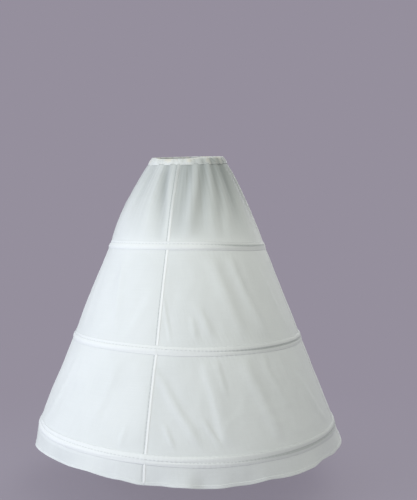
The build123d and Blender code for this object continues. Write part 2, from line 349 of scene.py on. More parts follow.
@dataclass(frozen=True)
class SkirtShape:
    """The line that the skirt's cloth follows, and the folds that lie in it.

    Along is the distance down the cloth from the waistband's lower edge, and lift the distance out from it.

    Attributes:
        top_width, top_depth, top_height: half width, half depth and height of its top edge.
        gather_end, flounce_start, hem: (radius, height) where the yoke ends, the flounce starts and it ends.
        tuck: how far the cloth goes on inside the waistband.
        tilt: how far the waist leans.
        spring: how far the yoke swells over the hip.
        half_casing: half the height that a casing keeps flat.
        bone_wall, bone_sink: how far the cloth lies inside a bone's outer edge and below its middle.
        band_wall: how far the cloth lies inside the waistband's outer edge.
        hem_drop: how far the hem hangs below the waist.
        hip_turn: the angle of the hip, away from the key lamp, over which the yoke is painted with more shade
            and is flatter.
        hip_lean: how much flatter the yoke is over that hip, and fuller over the other.
        hip_shade: how much more painted shade it takes there.
        seam_lean, seam_reach: how far the front seam leans by the waist, and how far round that is felt.
        gather_middle, gather_apart: where the gathers run apart, and how far by the waist.
        shade_fade: the yoke's painted shade by distance along.
        front_fade, front_middle, front_reach: painted shade added left of the front seam, along and round it.
        hollow_shade: painted shade added in the hollow beside the front seam.
        double_cloth, double_place, double_reach: painted shade taken off where a seam doubles the cloth, and
            where.
        flounce_shade: painted shade on the flounce on the wearer's right.
        gather_fade: depth of the gathers by share down the yoke.
    """

    top_width: float
    gather_end: Vector
    flounce_start: Vector
    hem: Vector
    top_depth: float = 104.7 * MM
    top_height: float = -22 * MM
    tuck: float = 4 * MM
    tilt: float = math.radians(6)
    spring: float = 11 * MM
    half_casing: float = 12.5 * MM
    bone_wall: float = 2.5 * MM
    bone_sink: float = 0.45 * MM
    band_wall: float = 2.7 * MM
    gather_depth: float = 2.9 * MM
    hem_drop: float = 913 * MM
    hem_wave_depth: float = 7 * MM
    hem_dip: float = 15 * MM
    hem_flutter: float = 3.5 * MM
    pucker_depth: float = 1.1 * MM
    streak_depth: float = 1.5 * MM
    crumple_depth: float = 1.3 * MM
    wrinkle_depth: float = 0.8 * MM
    hip_turn: float = 10.0
    hip_lean: float = 4.5 * MM
    hip_shade: float = 0.42
    seam_lean: float = 2.9
    seam_reach: float = 14.0
    gather_middle: float = -87.0
    gather_apart: float = 9.0
    shade_fade: Knots = (
        (0.0, 0.69), (0.035, 0.64), (0.1, 0.5), (0.16, 0.35), (0.22, 0.18), (0.262, 0.06), (0.275, 0.0),
    )
    front_fade: Knots = ((0.0, 0.03), (0.1, 0.06), (0.16, 0.15), (0.22, 0.21), (0.25, 0.15), (0.275, 0.0))
    front_middle: float = -80.0
    front_reach: float = 22.0
    hollow_shade: float = 0.27
    double_cloth: float = 0.08
    double_place: float = -7 * MM
    double_reach: float = 6 * MM
    flounce_shade: float = 0.17
    gather_fade: Knots = ((0.0, 0.5), (0.12, 0.85), (0.3, 1.0), (0.6, 0.85), (0.85, 0.42), (1.0, 0.0))
    puckers: WaistPuckers = WaistPuckers()

    @classmethod
    def from_frame(cls) -> SkirtShape:
        """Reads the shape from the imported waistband, hoops and panels."""
        band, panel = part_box("waistband"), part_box("back_left_panel")
        lines = []
        for name in ("upper_hoop", "lower_hoop"):
            low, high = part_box(name)
            lines.append(Vector((high.x - cls.bone_wall, (low.z + high.z) / 2 - cls.bone_sink)))
        slant = (lines[1] - lines[0]).normalized() * cls.half_casing
        return cls(
            top_width=band[1].x - cls.band_wall,
            gather_end=lines[0] - slant,
            flounce_start=lines[1] + slant,
            hem=Vector((panel[1].y, -cls.hem_drop)),
        )

    @cached_property
    def gather_length(self) -> float:
        """Length of the gathered yoke down the cloth."""
        middle = (self.top_width + self.top_depth) / 2
        return math.hypot(self.gather_end.x - middle, self.gather_end.y - self.top_height)

    @cached_property
    def straight_length(self) -> float:
        """Length of the straight cloth from the upper to the lower casing."""
        return (self.flounce_start - self.gather_end).length

    @cached_property
    def flounce_length(self) -> float:
        """Length of the free cloth below the lower casing."""
        return (self.hem - self.flounce_start).length

    @cached_property
    def length(self) -> float:
        """Length of the whole cloth from the waistband to the hem."""
        return self.gather_length + self.straight_length + self.flounce_length

    @cached_property
    def normal(self) -> Vector:
        """The straight cloth's outward direction as (radius, height)."""
        slant = (self.flounce_start - self.gather_end).normalized()
        return Vector((-slant.y, slant.x))

    def hoop_along(self, name: str) -> float:
        """Where a hoop's line lies along the cloth."""
        low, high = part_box(name)
        drop = (low.z + high.z) / 2 - self.bone_sink
        share = (drop - self.gather_end.y) / (self.flounce_start.y - self.gather_end.y)
        return self.gather_length + share * self.straight_length

    def line(self, along: float) -> tuple[float, float, float, float]:
        """The unfolded cloth at a distance along it.

        Args:
            along: distance down the cloth.

        Returns:
            Half width, half depth, height and tilt of the level oval there.
        """
        if along < self.gather_length:
            share = along / self.gather_length
            spring = self.spring * 4 * max(0.0, share) * (1 - share)
            width = self.top_width + (self.gather_end.x - self.top_width) * share + spring
            depth = self.top_depth + (self.gather_end.x - self.top_depth) * share + spring
            height = self.top_height + (self.gather_end.y - self.top_height) * share
            return width, depth, height, self.tilt * (1 - share) ** 2
        past = along - self.gather_length
        if past < self.straight_length:
            point = self.gather_end.lerp(self.flounce_start, past / self.straight_length)
        else:
            rest = (past - self.straight_length) / self.flounce_length
            point = self.flounce_start + (self.hem - self.flounce_start) * rest
        return point.x, point.x, point.y, 0.0


@dataclass
class Cloth:
    """The skirt's cloth as one folded surface that panels, seams, casings and stitches all lie on.

    Attributes:
        shape: the line that it follows.
        flat_until, free_from: distances from a hoop's line where folds begin and where they are full.
        ripple_pitch, ripple_height: width and height of the small ripples beside a casing.
        ripple_start, ripple_fade, ripple_reach: distances from a casing over which they rise, fade and end.
        pucker_fade: distance from the waistband over which its puckers fade.
        hem_ripple: height of the hem's fine ripples.
    """

    shape: SkirtShape
    flat_until: float = 13 * MM
    free_from: float = 52 * MM
    ripple_pitch: float = 15 * MM
    ripple_height: float = 0.5 * MM
    ripple_start: float = 7 * MM
    ripple_fade: float = 16 * MM
    ripple_reach: float = 45 * MM
    pucker_fade: float = 30 * MM
    hem_ripple: float = 2.6 * MM

    @cached_property
    def hoops(self) -> tuple[float, ...]:
        """The places of the three hoop lines along the cloth."""
        return tuple(self.shape.hoop_along(f"{name}_hoop") for name in HOOPS)

    def from_hoop(self, along: float) -> float:
        """Distance to the nearest hoop's line."""
        return min(abs(along - hoop) for hoop in self.hoops)

    def clear_of_casings(self, along: float) -> float:
        """0 under a casing, rising to 1 away from it."""
        return smooth_step(self.flat_until, self.free_from, self.from_hoop(along))

    def casing_puckers(self, angle: float, along: float, radius: float) -> float:
        """Small ripples that the sewn casings draw in the cloth beside them."""
        away = self.from_hoop(along) - self.shape.half_casing
        if not 0 < away < self.ripple_reach:
            return 0.0
        ripples = round(math.tau * radius / self.ripple_pitch)
        beat = math.sin(ripples * math.radians(angle) + 2.4 * ring_noise(angle, radius * 22, along * 6))
        drawn = smooth_step(-0.15, 0.45, ring_noise(angle, radius * 7, along * 4 + 6.6))
        fade = smooth_step(0, self.ripple_start, away) * math.exp(-away / self.ripple_fade)
        return self.ripple_height * drawn * beat * fade

    def gather(self, angle: float, share: float) -> float:
        """The gathers' rise from -1 to 1: they run apart beside the front seam towards the waist.

        Args:
            angle: angle round the skirt, in degrees.
            share: how far down the yoke, from 0 to 1.

        Returns:
            The rise.
        """
        off = turn_from(self.shape.gather_middle, angle)
        apart = self.shape.gather_apart * (1 - share) ** 1.4 * math.tanh(off / 10)
        apart *= smooth_step(150, 90, abs(off))
        drift = 3.0 * share * ring_noise(angle, 1.9, share * 1.6)
        return ring_curve(GATHERS, angle - apart + drift)

    def swing(self, angle: float, along: float) -> float:
        """The angle where a place of the cloth lies: by the waist the front seam leans to the wearer's right.

        Args:
            angle: angle round the cut cloth, in degrees.
            along: distance down the cloth.

        Returns:
            The angle round the skirt, in degrees.
        """
        rest = 1 - max(0.0, along) / self.shape.gather_length
        if rest <= 0:
            return angle
        off = turn_from(FRONT, angle)
        return angle - self.shape.seam_lean * rest**1.5 * bell(off, self.shape.seam_reach)

    def painted_shade_share(self, angle: float, along: float) -> float:
        """How far the cloth is painted with shade, from 0 where it stays white to 1 where the shaded inside
        shows darkest through one layer of see-through cloth.

        Args:
            angle: angle round the skirt, in degrees, from -90 to 270.
            along: distance down the cloth.

        Returns:
            The share: high in the yoke's hollows and on its left hip, which lies away from the key lamp, low
                on its crests and in the flounce.
        """
        shape = self.shape
        fall = self.flounce_share(along)
        lean = math.cos(math.radians(angle - shape.hip_turn))
        # Painted shade on the flounce on the wearer's right
        if fall > 0:
            return shape.flounce_shade * smooth_step(0.2, 1.0, -lean) * smooth_step(0.0, 0.15, fall)
        fade = line_curve(shape.shade_fade, along)
        if fade == 0:
            return 0.0
        width, _, height, _ = shape.line(along)
        beside_seam = math.radians((angle + 45) % 90 - 45) * width
        angle = self.swing(angle, along)
        # Painted shade: more on the left hip, away from the key lamp, and in the gathers' hollows, less on
        # their crests; the streaks vary it at random
        hip = 1 + shape.hip_shade * lean
        streaks = ring_noise(angle, 20, along * 3) + 0.5 * ring_noise(angle, 52, along * 5)
        folds = 0.32 * self.gather(angle, max(0.0, along) / shape.gather_length) - 0.2 * streaks
        # Painted shade left of the front seam and in the hollow beside it, less where a seam doubles the cloth
        front = bell(angle - shape.front_middle, shape.front_reach) * line_curve(shape.front_fade, along)
        hollow = SEAM_HOLLOW.rise(angle, -height, width) / SEAM_HOLLOW.height
        double = bell(beside_seam - shape.double_place, shape.double_reach) * smooth_step(0.0, 0.3, fade)
        sewn = shape.hollow_shade * hollow - shape.double_cloth * double
        return min(1.0, max(0.0, fade * (hip - folds) + front + sewn))

    def wrinkle(self, angle: float, along: float, radius: float) -> float:
        """Thin crease lines that come and go over the cloth, from 0 to 1."""
        line = 1 - 5 * abs(ring_noise(angle + along * 30, radius * 8, along * 15))
        return max(0.0, line) * smooth_step(-0.1, 0.5, ring_noise(angle, radius * 4, along * 4 + 8.2))

    def flounce_share(self, along: float) -> float:
        """How far down the free flounce a place is, from 0 at the lower casing to 1 at the hem."""
        return (along - self.shape.gather_length - self.shape.straight_length) / self.shape.flounce_length

    def dip(self, angle: float, along: float) -> float:
        """How far the flounce hangs below its level line."""
        fall = self.flounce_share(along)
        if fall <= 0:
            return 0.0
        ripple = ring_noise(angle, 8.5, 5.2)
        return fall * (self.shape.hem_dip * ring_curve(HEM_DIPS, angle) + self.hem_ripple * ripple)

    def fold_height(self, angle: float, along: float) -> float:
        """How far the folds lift the cloth at a place on it."""
        shape = self.shape
        width, _, height, _ = shape.line(along)
        rise = 0.0
        if along < shape.gather_length:
            share = max(0.0, along / shape.gather_length)
            rise += shape.gather_depth * line_curve(shape.gather_fade, share) * self.gather(angle, share)
            lean = math.cos(math.radians(angle - shape.hip_turn)) ** 3
            rise -= shape.hip_lean * math.sin(math.pi * share) * lean
            fade = math.exp(-max(0.0, along) / self.pucker_fade)
            rise += shape.pucker_depth * shape.puckers.rise(angle) * fade
            streaks = ring_noise(angle, 11.5, share * 0.9) + 0.6 * ring_noise(angle, 27, share + 6.1)
            rise += shape.streak_depth * streaks * smooth_step(0.0, 0.1, share) * (1 - share)
        fall = self.flounce_share(along)
        if fall > 0:
            wave = shape.hem_wave_depth * ring_curve(HEM_WAVES, angle)
            rise += fall**1.5 * (wave + shape.hem_flutter * ring_noise(angle, 5.6, 2.7))
        clear = self.clear_of_casings(along)
        if clear > 0:
            crumple = ring_noise(angle, width * 13, along * 5)
            crumple += 0.5 * ring_noise(angle, width * 31, along * 12)
            rise += clear * shape.crumple_depth * crumple
            rise += clear * shape.wrinkle_depth * self.wrinkle(angle, along, width)
            rise += clear * sum(crease.rise(angle, -height, width) for crease in DRAG_FOLDS)
        return rise + self.casing_puckers(angle, along, width)

    def place(self, angle: float, along: float, lift: float = 0.0) -> Vector:
        """The point of the folded cloth at a place on it.

        Args:
            angle: angle round the skirt, in degrees.
            along: distance down the cloth.
            lift: distance out from the cloth.

        Returns:
            The point in the frame.
        """
        width, depth, height, tilt = self.shape.line(along)
        angle = self.swing(angle, along)
        lift += self.fold_height(angle, along)
        height -= self.dip(angle, along)
        out = self.shape.normal * lift
        turn = math.radians(angle)
        point = Vector(((width + out.x) * math.cos(turn), (depth + out.x) * math.sin(turn), height + out.y))
        return Matrix.Rotation(tilt, 3, "X") @ point if tilt else point


class Sock:
    """A shader value or colour, with the sums that a material writes on it."""

    def __init__(self, graph: Graph, socket: bpy.types.NodeSocket) -> None:
        """Wraps an output socket of a graph."""
        self.graph, self.socket = graph, socket

    def maths(self, operation: str, *values: object) -> Sock:
        """A Math node on these values."""
        return self.graph.value("ShaderNodeMath", {"operation": operation}, dict(enumerate(values)))

    def __add__(self, other: object) -> Sock:
        """Sum."""
        return self.maths("ADD", self, other)

    def __sub__(self, other: object) -> Sock:
        """Difference."""
        return self.maths("SUBTRACT", self, other)

    def __rsub__(self, other: object) -> Sock:
        """Difference from a number."""
        return self.maths("SUBTRACT", other, self)

    def __mul__(self, other: object) -> Sock:
        """Product."""
        return self.maths("MULTIPLY", self, other)

    def __pow__(self, other: object) -> Sock:
        """Power."""
        return self.maths("POWER", self, other)

    __radd__ = __add__
    __rmul__ = __mul__

    def sine(self) -> Sock:
        """Sine of the value."""
        return self.maths("SINE", self)

    def ramp(self, low: float, high: float) -> Sock:
        """0 at low to 1 at high, held within them and eased."""
        limits = {"Value": self, "From Min": low, "From Max": high}
        return self.graph.value("ShaderNodeMapRange", {"interpolation_type": "SMOOTHSTEP"}, limits)


class Graph:
    """The nodes of one material or of the world."""

    def __init__(self, owner: bpy.types.Material | bpy.types.World) -> None:
        """Empties the owner's nodes."""
        owner.use_nodes = True
        self.owner, self.tree = owner, owner.node_tree
        self.tree.nodes.clear()

    @classmethod
    def of_material(cls, name: str) -> Graph:
        """The graph of a new material."""
        return cls(bpy.data.materials.new(name))

    def node(
        self, kind: str, settings: dict[str, object] | None = None, sockets: dict | None = None
    ) -> bpy.types.Node:
        """Adds a node.

        Args:
            kind: the node's type.
            settings: properties, set before its sockets.
            sockets: values or links of its input sockets, by name or number.

        Returns:
            The node.
        """
        made = self.tree.nodes.new(kind)
        for name, value in (settings or {}).items():
            setattr(made, name, value)
        for name, value in (sockets or {}).items():
            if isinstance(value, Sock):
                self.tree.links.new(value.socket, made.inputs[name])
            else:
                made.inputs[name].default_value = value
        return made

    def value(
        self, kind: str, settings: dict[str, object] | None, sockets: dict | None, output: int | str = 0
    ) -> Sock:
        """Adds a node and gives one of its outputs, by name or number."""
        return Sock(self, self.node(kind, settings, sockets).outputs[output])

    def mix(self, share: object, first: object, second: object) -> Sock:
        """A colour between two colours."""
        return self.value("ShaderNodeMix", {"data_type": "RGBA"}, {0: share, 6: first, 7: second}, 2)

    def places(self, kind: str) -> Sock:
        """Texture coordinates of a kind, UV or Object."""
        return self.value("ShaderNodeTexCoord", None, None, kind)

    def parts(self, vector: Sock) -> tuple[Sock, Sock, Sock]:
        """The three numbers of a vector."""
        x, y, z = self.node("ShaderNodeSeparateXYZ", None, {0: vector}).outputs
        return Sock(self, x), Sock(self, y), Sock(self, z)

    def noise(self, vector: Sock, scale: tuple[float, float, float], detail: float = 2.0) -> Sock:
        """Noise from 0 to 1, stretched by a scale for each axis."""
        stretched = self.value("ShaderNodeMapping", None, {"Vector": vector, "Scale": scale})
        return self.value("ShaderNodeTexNoise", None, {"Vector": stretched, "Scale": 1.0, "Detail": detail})

    def bump(self, height: Sock, distance: float, strength: float = 1.0) -> Sock:
        """A normal that a height in shares of a distance dents."""
        dent = {"Strength": strength, "Distance": distance, "Height": height}
        return self.value("ShaderNodeBump", None, dent)

    def mixed_shader(self, share: Sock, first: tuple[str, dict], second: tuple[str, dict]) -> Sock:
        """A shader between two shaders, each given as its type and its sockets."""
        low, high = (self.value(kind, None, sockets) for kind, sockets in (first, second))
        return self.value("ShaderNodeMixShader", None, {0: share, 1: low, 2: high})

    def surface(self, **sockets: object) -> bpy.types.Material:
        """Closes the material with a Principled surface.

        Args:
            sockets: its inputs, with underscores for spaces.

        Returns:
            The finished material.
        """
        named = {name.replace("_", " "): value for name, value in sockets.items()}
        self.node("ShaderNodeOutputMaterial", None, {0: self.value("ShaderNodeBsdfPrincipled", None, named)})
        return self.owner


@dataclass(frozen=True)
class ClothFinish:
    """White woven polyester: a fine weave, slubs and a soft sheen.

    Attributes:
        name: the material's name.
        pale: its colour on the flat.
        shade: its colour where threads lie deeper.
        painted_shade: the grey of its painted shade, mixed in by each vertex's share, or None where it has
            none.
        cream: the colour of faint cream patches, or None.
        groove: place of a stitched groove across the piece, in metres, or None.
        weave: distance between threads, in metres.
        rough: mean roughness.
        groove_shade: the colour of the groove's painted shade.
        groove_width: half the groove's width, in metres.
        pinch_shade: how far painted shade darkens it at the stitch pinches.
        steady: how far painted shade darkens it all along.
        side_shade: how far its painted shade darkens and widens on the left hip, which lies away from the key
            lamp.
        pucker_pitch: distance between its stitch pinches, in metres.
    """

    name: str
    pale: Colour
    shade: Colour
    painted_shade: Colour | None = None
    cream: Colour | None = None
    groove: float | None = None
    weave: float = 0.9 * MM
    rough: float = 0.62
    groove_shade: Colour = (0.34, 0.37, 0.36, 1)
    groove_width: float = 1.7 * MM
    pinch_shade: float = 0.3
    steady: float = 0.0
    side_shade: float = 1.0
    pucker_pitch: float = 11.5 * MM

    def material(self) -> bpy.types.Material:
        """Builds the finish on the piece's own UV map, which is in metres of cloth."""
        graph = Graph.of_material(self.name)
        flat = graph.places("UV")
        across, down, _ = graph.parts(flat)
        turns = math.tau / self.weave
        weave = (across * turns).sine() * (down * turns).sine() * 0.5 + 0.5
        warp = graph.noise(flat, (900, 9, 1), 3)
        weft = graph.noise(flat, (9, 900, 1), 3)
        threads = warp * 0.5 + weft * 0.5
        cloud = graph.noise(graph.places("Object"), (7, 7, 7), 3)
        colour = graph.mix((threads * 0.6 + cloud * 0.4).ramp(0.3, 0.68), self.shade, self.pale)
        if self.cream is not None:
            patches = graph.noise(graph.places("Object"), (38, 38, 60), 2)
            colour = graph.mix(patches.ramp(0.48, 0.66), colour, self.cream)
        # Painted shade: grey mixed in by the share of painted shade that each vertex carries
        if self.painted_shade is not None:
            share = graph.value("ShaderNodeAttribute", {"attribute_name": PAINTED_SHADE_SHARE}, None, "Fac")
            colour = graph.mix(share, colour, self.painted_shade)
        if self.groove is not None:
            colour = graph.mix(self.stitched_groove(graph, across, down), colour, self.groove_shade)
        creases = graph.noise(graph.places("Object"), (42, 42, 16), 4)
        relief = creases * 0.62 + threads * 0.26 + weave * 0.12
        return graph.surface(
            Base_Color=colour,
            Roughness=threads * 0.2 + (self.rough - 0.1),
            Specular_IOR_Level=0.3,
            Sheen_Weight=0.22,
            Sheen_Roughness=0.4,
            Normal=graph.bump(relief, 1.1 * MM, 0.55),
        )

    def stitched_groove(self, graph: Graph, across: Sock, down: Sock) -> Sock:
        """The painted shade of a tape's groove: dots at the stitch pinches, a whole line on the left hip,
        which lies away from the key lamp.

        Args:
            graph: the material's graph.
            across: place across the tape.
            down: place along the tape.

        Returns:
            The share of painted shade in the groove, from 0 to 1.
        """
        sway = graph.noise(graph.places("Object"), (24, 24, 24), 1)
        dots = (down * (math.tau / self.pucker_pitch) + sway * 9).sine() * 0.5 + 0.5
        x, y, _ = graph.parts(graph.places("Object"))
        # Painted shade widens and darkens on the left hip, which lies away from the key lamp
        away_from_key = ((x * 0.97 - y * 0.24) * (x * x + y * y) ** -0.5).ramp(0.62, 0.95) * self.side_shade
        width = away_from_key * (2.2 * self.groove_width) + self.groove_width
        off = across - self.groove
        line = 1 - off.maths("ABSOLUTE", off).ramp(width * 0.25, width)
        return line * (dots.ramp(0.15, 0.85) * self.pinch_shade * (1 - away_from_key) + away_from_key * 0.58 + self.steady)


@dataclass(frozen=True)
class ThreadFinish:
    """White polyester sewing thread, twisted and slightly shiny."""

    name: str = "sewing_thread"
    pale: Colour = (0.86, 0.88, 0.9, 1)
    shade: Colour = (0.62, 0.64, 0.66, 1)

    def material(self) -> bpy.types.Material:
        """Builds the finish on Object coordinates."""
        graph = Graph.of_material(self.name)
        where = graph.places("Object")
        ply = graph.noise(where, (1500, 1500, 1500), 1)
        return graph.surface(
            Base_Color=graph.mix(ply.ramp(0.3, 0.7), self.shade, self.pale),
            Roughness=ply * 0.2 + 0.38,
            Normal=graph.bump(ply, 0.2 * MM),
        )


@dataclass(frozen=True)
class ElasticFinish:
    """Knitted white elastic with ribs across its length."""

    name: str = "knitted_elastic"
    pale: Colour = (0.8, 0.79, 0.76, 1)
    shade: Colour = (0.52, 0.51, 0.48, 1)

    def material(self) -> bpy.types.Material:
        """Builds the finish on Object coordinates."""
        graph = Graph.of_material(self.name)
        where = graph.places("Object")
        _, _, height = graph.parts(where)
        rib = (height * (math.tau / (1.5 * MM))).sine() * 0.5 + 0.5
        knit = graph.noise(where, (700, 700, 300), 2)
        relief = rib * 0.6 + knit * 0.4
        return graph.surface(
            Base_Color=graph.mix(relief, self.shade, self.pale),
            Roughness=knit * 0.2 + 0.7,
            Normal=graph.bump(relief, 0.4 * MM),
        )


@dataclass(frozen=True)
class BoneFinish:
    """Coated spring steel hoop bone: milky white coat, faintly brushed along, scuffed by the tape."""

    name: str = "coated_steel_bone"
    pale: Colour = (0.82, 0.83, 0.84, 1)
    shade: Colour = (0.6, 0.62, 0.64, 1)

    def material(self) -> bpy.types.Material:
        """Builds the finish on Object coordinates."""
        graph = Graph.of_material(self.name)
        where = graph.places("Object")
        brushed = graph.noise(where, (40, 40, 1600), 3)
        scuff = graph.noise(where, (55, 55, 55), 4)
        return graph.surface(
            Base_Color=graph.mix(scuff.ramp(0.4, 0.7), self.pale, self.shade),
            Roughness=brushed * 0.2 + scuff * 0.15 + 0.2,
            Coat_Weight=0.3,
            Normal=graph.bump(brushed * 0.6 + scuff * 0.4, 0.15 * MM),
        )


@dataclass(frozen=True)
class SleeveFinish:
    """Pale moulded plastic of the bone's sleeves, rubbed dull along its edges."""

    name: str = "plastic_sleeve"
    pale: Colour = (0.74, 0.75, 0.76, 1)
    shade: Colour = (0.56, 0.57, 0.59, 1)

    def material(self) -> bpy.types.Material:
        """Builds the finish on Object coordinates."""
        graph = Graph.of_material(self.name)
        where = graph.places("Object")
        scratch = graph.noise(where, (60, 900, 900), 4)
        rubbed = graph.noise(where, (120, 120, 120), 3)
        return graph.surface(
            Base_Color=graph.mix(rubbed.ramp(0.4, 0.7), self.pale, self.shade),
            Roughness=scratch * 0.25 + rubbed * 0.15 + 0.26,
            Normal=graph.bump(scratch, 0.1 * MM),
        )


class Finishes:
    """The materials of the whole petticoat, made once."""

    def __init__(self) -> None:
        """Makes each finish's material."""
        # Grey of the painted shade: the shaded inside showing through the see-through cloth, shade in hollows
        # and on the hip away from the key lamp
        painted_shade = (0.33, 0.355, 0.35, 1)
        self.panel = ClothFinish(
            "panel_cloth", (0.775, 0.8, 0.795, 1), (0.725, 0.75, 0.745, 1), painted_shade
        ).material()
        self.band = ClothFinish(
            "band_cloth", (0.75, 0.77, 0.755, 1), (0.7, 0.72, 0.705, 1), painted_shade, cream=(0.77, 0.75, 0.68, 1)
        ).material()
        # Tapes and seam strips carry a line of painted shade along their groove
        self.tape = ClothFinish(
            "casing_tape", (0.84, 0.86, 0.855, 1), (0.79, 0.81, 0.81, 1), painted_shade, groove=0.0, weave=1.2 * MM
        ).material()
        self.hem = ClothFinish("hem_cloth", (0.79, 0.815, 0.81, 1), (0.74, 0.765, 0.76, 1)).material()
        self.seam = ClothFinish(
            "seam_tape", (0.93, 0.945, 0.94, 1), (0.89, 0.905, 0.9, 1), painted_shade,
            groove=0.0, groove_width=2.2 * MM, pinch_shade=0.1, steady=0.64, side_shade=0.0,
        ).material()
        self.thread = ThreadFinish().material()
        self.elastic = ElasticFinish().material()
        self.bone = BoneFinish().material()
        self.sleeve = SleeveFinish().material()


@dataclass
class Piece:
    """A finished mesh on its way into the scene."""

    name: str
    mesh: bmesh.types.BMesh
    material: bpy.types.Material
    slot: Slot
    replaces: tuple[str, ...] = ()
    thickness: float = 0.0
    inwards: float = -1.0

    def place(self) -> bpy.types.Object:
        """Makes the object: smooth faces, wall thickness, body and the CAD nodes it stands for.

        Returns:
            The object in the scene.
        """
        bmesh.ops.remove_doubles(self.mesh, verts=self.mesh.verts, dist=1e-7)
        for face in self.mesh.faces:
            face.smooth = True
        data = bpy.data.meshes.new(self.name)
        self.mesh.to_mesh(data)
        self.mesh.free()
        data.materials.append(self.material)
        made = bpy.data.objects.new(self.name, data)
        bpy.context.scene.collection.objects.link(made)
        if self.thickness:
            wall = made.modifiers.new("cloth_thickness", "SOLIDIFY")
            wall.thickness, wall.offset = self.thickness, self.inwards
        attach(made, BODY)
        if self.replaces:
            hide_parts(*self.replaces)
        LOG.info("%s: %d faces", self.name, len(data.polygons))
        return made


def drawn_line(mesh: bmesh.types.BMesh, start: Vector, end: Vector, pieces: int) -> list[bmesh.types.BMEdge]:
    """Draws a straight line of edges.

    Args:
        mesh: where to draw.
        start: its first end.
        end: its last end.
        pieces: number of edges.

    Returns:
        The edges.
    """
    edge = mesh.edges.new((mesh.verts.new(start), mesh.verts.new(end)))
    if pieces > 1:
        bmesh.ops.subdivide_edges(mesh, edges=[edge], cuts=pieces - 1)
    return list(mesh.edges)


def spun_sheet(start: float, turn: float, steps: int, rows: int) -> bmesh.types.BMesh:
    """A plain cylinder sheet of radius 1, from height 0 down to -1, to be moved into place.

    Args:
        start: the angle of its first edge, in degrees.
        turn: how far it goes round, in degrees; 360 closes it.
        steps: faces round it.
        rows: faces down it.

    Returns:
        The mesh, with an empty UV map.
    """
    mesh = bmesh.new()
    angle = math.radians(start)
    first = Vector((math.cos(angle), math.sin(angle), 0))
    edges = drawn_line(mesh, first, first - Vector((0, 0, 1)), rows)
    verts = list({vert for edge in edges for vert in edge.verts})
    bmesh.ops.spin(
        mesh,
        geom=verts + edges,
        axis=(0, 0, 1),
        cent=(0, 0, 0),
        angle=math.radians(turn),
        steps=steps,
        use_merge=turn == 360,
    )
    bmesh.ops.remove_doubles(mesh, verts=mesh.verts, dist=1e-6)
    bmesh.ops.recalc_face_normals(mesh, faces=mesh.faces)
    if sum(face.normal.dot(face.calc_center_median() * Vector((1, 1, 0))) for face in mesh.faces) < 0:
        bmesh.ops.reverse_faces(mesh, faces=mesh.faces)
    mesh.loops.layers.uv.new("cloth")
    mesh.verts.layers.float.new(PAINTED_SHADE_SHARE)
    return mesh


def move_sheet(
    mesh: bmesh.types.BMesh,
    start: float,
    place: Callable[[float, float], Vector],
    flat: Callable[[float, float], tuple[float, float]],
    painted_shade: Callable[[float, float], float] | None = None,
) -> None:
    """Moves a spun sheet into its shape and gives it its flat size as UVs, and its share of painted shade.

    Args:
        mesh: the sheet from spun_sheet.
        start: the angle of its first edge, in degrees.
        place: the point for an angle and a share down the sheet.
        flat: the UV in metres for an angle and a share down the sheet.
        painted_shade: the share of painted shade for an angle and a share down the sheet, or None where it has
            none.
    """
    layer = mesh.loops.layers.uv.verify()
    painted_shade_share = mesh.verts.layers.float[PAINTED_SHADE_SHARE]
    where = {}
    for vert in mesh.verts:
        turned = (math.degrees(math.atan2(vert.co.y, vert.co.x)) - start + 0.001) % 360 - 0.001
        where[vert] = (start + turned, -vert.co.z)
    for face in mesh.faces:
        angles = [where[loop.vert][0] for loop in face.loops]
        for loop in face.loops:
            angle, share = where[loop.vert]
            if max(angles) - angle > 180:
                angle += 360
            loop[layer].uv = flat(angle, share)
    for vert, (angle, share) in where.items():
        vert.co = place(angle, share)
        if painted_shade is not None:
            vert[painted_shade_share] = painted_shade(angle, share)


@dataclass
class Panels:
    """The four gored panels of the skirt, gathered at the waist and free at the hem."""

    cloth: Cloth
    finishes: Finishes
    starts: tuple[tuple[str, float], ...] = (
        ("front_left_panel", FRONT),
        ("back_left_panel", 0.0),
        ("back_right_panel", 90.0),
        ("front_right_panel", 180.0),
    )
    turn: float = 90.0
    steps: int = 160
    rows: int = 176
    thickness: float = 0.6 * MM
    made: dict[str, bpy.types.Object] = field(default_factory=dict)

    def build(self) -> None:
        """Makes each panel."""
        for name, start in self.starts:
            mesh = spun_sheet(start, self.turn, self.steps, self.rows)
            middle = start + self.turn / 2
            move_sheet(
                mesh,
                start,
                lambda angle, share: self.cloth.place(angle, self.along(share)),
                lambda angle, share: self.flat(angle - middle, share),
                # the share of painted shade at each vertex
                lambda angle, share: self.cloth.painted_shade_share(angle, self.along(share)),
            )
            piece = Piece(f"{name}_cloth", mesh, self.finishes.panel, Slot.PANEL, (name,), self.thickness)
            self.made[name] = piece.place()

    def along(self, share: float) -> float:
        """Distance down the cloth for a share of the panel, which starts inside the waistband."""
        shape = self.cloth.shape
        return -shape.tuck + share * (shape.length + shape.tuck)

    def flat(self, turn: float, share: float) -> tuple[float, float]:
        """Place on the flat cut panel, from its middle line."""
        along = self.along(share)
        return math.radians(turn) * self.cloth.shape.line(along)[0], along

    def declare(self, trims: dict[str, list[bpy.types.Object]]) -> None:
        """Looks up the trims listed for each panel, and does nothing with them."""
        for name, panel in self.made.items():
            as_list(trims.get(name, []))


class TapeEdge(Enum):
    """Where a round tape's profile is read from."""

    HOOP = "hoop"
    HEM = "hem"


